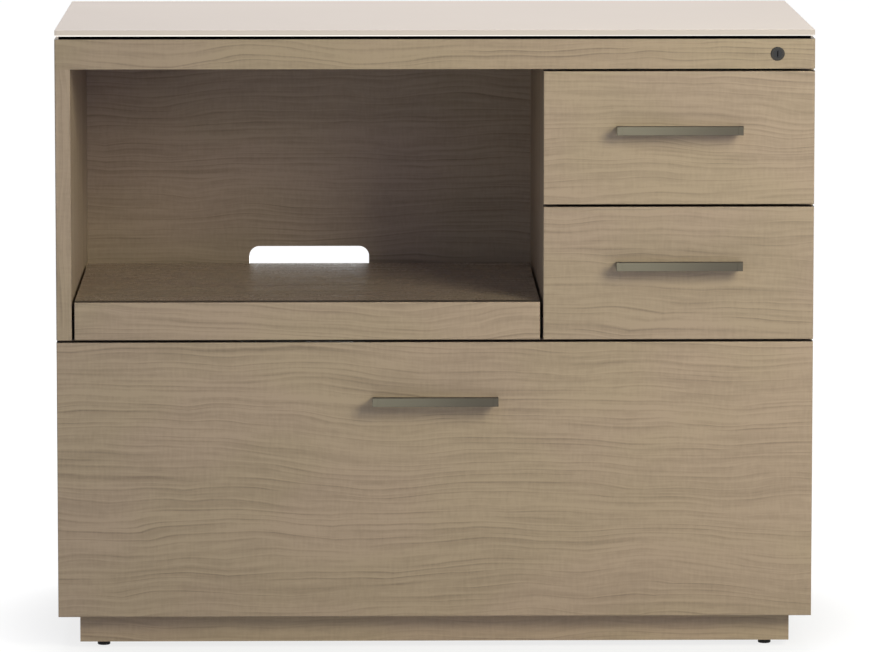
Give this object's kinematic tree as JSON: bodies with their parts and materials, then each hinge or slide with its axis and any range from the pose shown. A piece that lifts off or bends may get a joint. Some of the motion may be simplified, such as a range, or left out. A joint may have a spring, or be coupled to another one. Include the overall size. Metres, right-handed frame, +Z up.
{
  "type": "storage cabinet",
  "caption": "Low office storage cabinet with an open bay, a pull-out shelf, box drawers beside it and a wide file drawer below, under a glass top.",
  "frame": {"origin": "on the floor, under the middle of the box round the whole cabinet with its handles", "axes": "+X to the right as seen from the front, +Y from the front to the back, +Z up; the fronts face -Y"},
  "size_m": [0.9144, 0.536, 0.7557],
  "materials": {
    "oak_veneer": "satin lacquered oak veneer, greige",
    "satin_glass": "opaque satin glass, painted behind",
    "black_strip": "matt black",
    "zinc_steel": "bright zinc plating",
    "plain_board": "raw board",
    "drawer_box": "clear lacquered birch ply",
    "dark_pewter": "brushed dark pewter",
    "lock_black": "black lacquered steel",
    "foot_black": "moulded black",
    "rail_aluminium": "drawn, clear anodised"
  },
  "bodies": {
    "case": {"glass_top": "satin_glass", "glass_spacers": "black_strip", "top_panel": "oak_veneer", "front_apron": "oak_veneer", "left_stile": "oak_veneer", "left_side_panel": "oak_veneer", "right_side_panel": "oak_veneer", "centre_divider": "oak_veneer", "middle_deck": "oak_veneer", "bottom_panel": "oak_veneer", "upper_back_panel": "oak_veneer", "lower_back_panel": "oak_veneer", "cam_fittings": "zinc_steel", "plinth_front_rail": "oak_veneer", "plinth_back_rail": "oak_veneer", "plinth_side_rails": "oak_veneer", "plinth_corner_blocks": "plain_board", "foot_inserts": "zinc_steel", "lock_housing": "lock_black", "gang_bar_guides": "zinc_steel", "shelf_cabinet_slides": "zinc_steel", "upper_drawer_cabinet_slides": "zinc_steel", "lower_drawer_cabinet_slides": "zinc_steel", "file_drawer_cabinet_slides": "zinc_steel"},
    "shelf": {"shelf_panel": "oak_veneer", "shelf_front": "oak_veneer", "shelf_moving_slides": "zinc_steel"},
    "shelf_middle": {"shelf_middle_slides": "zinc_steel"},
    "upper_drawer": {"upper_drawer_front": "oak_veneer", "upper_drawer_sides": "drawer_box", "upper_drawer_back": "drawer_box", "upper_drawer_bottom": "drawer_box", "upper_drawer_handle": "dark_pewter", "upper_drawer_handle_screws": "zinc_steel", "upper_drawer_moving_slides": "zinc_steel"},
    "upper_drawer_middle": {"upper_drawer_middle_slides": "zinc_steel"},
    "lower_drawer": {"lower_drawer_front": "oak_veneer", "lower_drawer_sides": "drawer_box", "lower_drawer_back": "drawer_box", "lower_drawer_bottom": "drawer_box", "lower_drawer_handle": "dark_pewter", "lower_drawer_handle_screws": "zinc_steel", "lower_drawer_moving_slides": "zinc_steel"},
    "lower_drawer_middle": {"lower_drawer_middle_slides": "zinc_steel"},
    "file_drawer": {"file_drawer_front": "oak_veneer", "file_drawer_sides": "drawer_box", "file_drawer_back": "drawer_box", "file_drawer_bottom": "drawer_box", "file_drawer_handle": "dark_pewter", "file_drawer_handle_screws": "zinc_steel", "file_drawer_moving_slides": "zinc_steel", "file_drawer_hanging_rails": "rail_aluminium"},
    "file_drawer_middle": {"file_drawer_middle_slides": "zinc_steel"},
    "lock": {"lock_plug": "lock_black", "lock_crank": "zinc_steel"},
    "gang_bar": {"gang_bar": "zinc_steel"},
    "foot_front_left": {"foot_front_left": "foot_black"},
    "foot_front_right": {"foot_front_right": "foot_black"},
    "foot_back_left": {"foot_back_left": "foot_black"},
    "foot_back_right": {"foot_back_right": "foot_black"}
  },
  "joints": [
    {"name": "shelf_pull", "type": "slide", "parent": "case", "child": "shelf", "axis": [0, -1, 0], "range_m": [0, 0.34]},
    {"name": "shelf_pull_middle", "type": "slide", "parent": "case", "child": "shelf_middle", "axis": [0, -1, 0], "range_m": [0, 0.17]},
    {"name": "upper_drawer_pull", "type": "slide", "parent": "case", "child": "upper_drawer", "axis": [0, -1, 0], "range_m": [0, 0.42]},
    {"name": "upper_drawer_pull_middle", "type": "slide", "parent": "case", "child": "upper_drawer_middle", "axis": [0, -1, 0], "range_m": [0, 0.21]},
    {"name": "lower_drawer_pull", "type": "slide", "parent": "case", "child": "lower_drawer", "axis": [0, -1, 0], "range_m": [0, 0.42]},
    {"name": "lower_drawer_pull_middle", "type": "slide", "parent": "case", "child": "lower_drawer_middle", "axis": [0, -1, 0], "range_m": [0, 0.21]},
    {"name": "file_drawer_pull", "type": "slide", "parent": "case", "child": "file_drawer", "axis": [0, -1, 0], "range_m": [0, 0.42]},
    {"name": "file_drawer_pull_middle", "type": "slide", "parent": "case", "child": "file_drawer_middle", "axis": [0, -1, 0], "range_m": [0, 0.21]},
    {"name": "lock_turn", "type": "hinge", "parent": "case", "child": "lock", "pos_m": [0.412, -0.24, 0.72655], "axis": [0, 1, 0], "range_deg": [0, 90]},
    {"name": "gang_bar_drop", "type": "slide", "parent": "case", "child": "gang_bar", "axis": [0, 0, -1], "range_m": [0, 0.008]},
    {"name": "foot_front_left_screw", "type": "slide", "parent": "case", "child": "foot_front_left", "axis": [0, 0, -1], "range_m": [0, 0.012]},
    {"name": "foot_front_right_screw", "type": "slide", "parent": "case", "child": "foot_front_right", "axis": [0, 0, -1], "range_m": [0, 0.012]},
    {"name": "foot_back_left_screw", "type": "slide", "parent": "case", "child": "foot_back_left", "axis": [0, 0, -1], "range_m": [0, 0.012]},
    {"name": "foot_back_right_screw", "type": "slide", "parent": "case", "child": "foot_back_right", "axis": [0, 0, -1], "range_m": [0, 0.012]}
  ],
  "couplings": [
    {"joint": "shelf_pull_middle", "follows": "shelf_pull", "ratio": 0.5},
    {"joint": "upper_drawer_pull_middle", "follows": "upper_drawer_pull", "ratio": 0.5},
    {"joint": "lower_drawer_pull_middle", "follows": "lower_drawer_pull", "ratio": 0.5},
    {"joint": "file_drawer_pull_middle", "follows": "file_drawer_pull", "ratio": 0.5},
    {"joint": "lock_turn", "follows": "gang_bar_drop", "rad_per_m": 196.35}
  ]
}
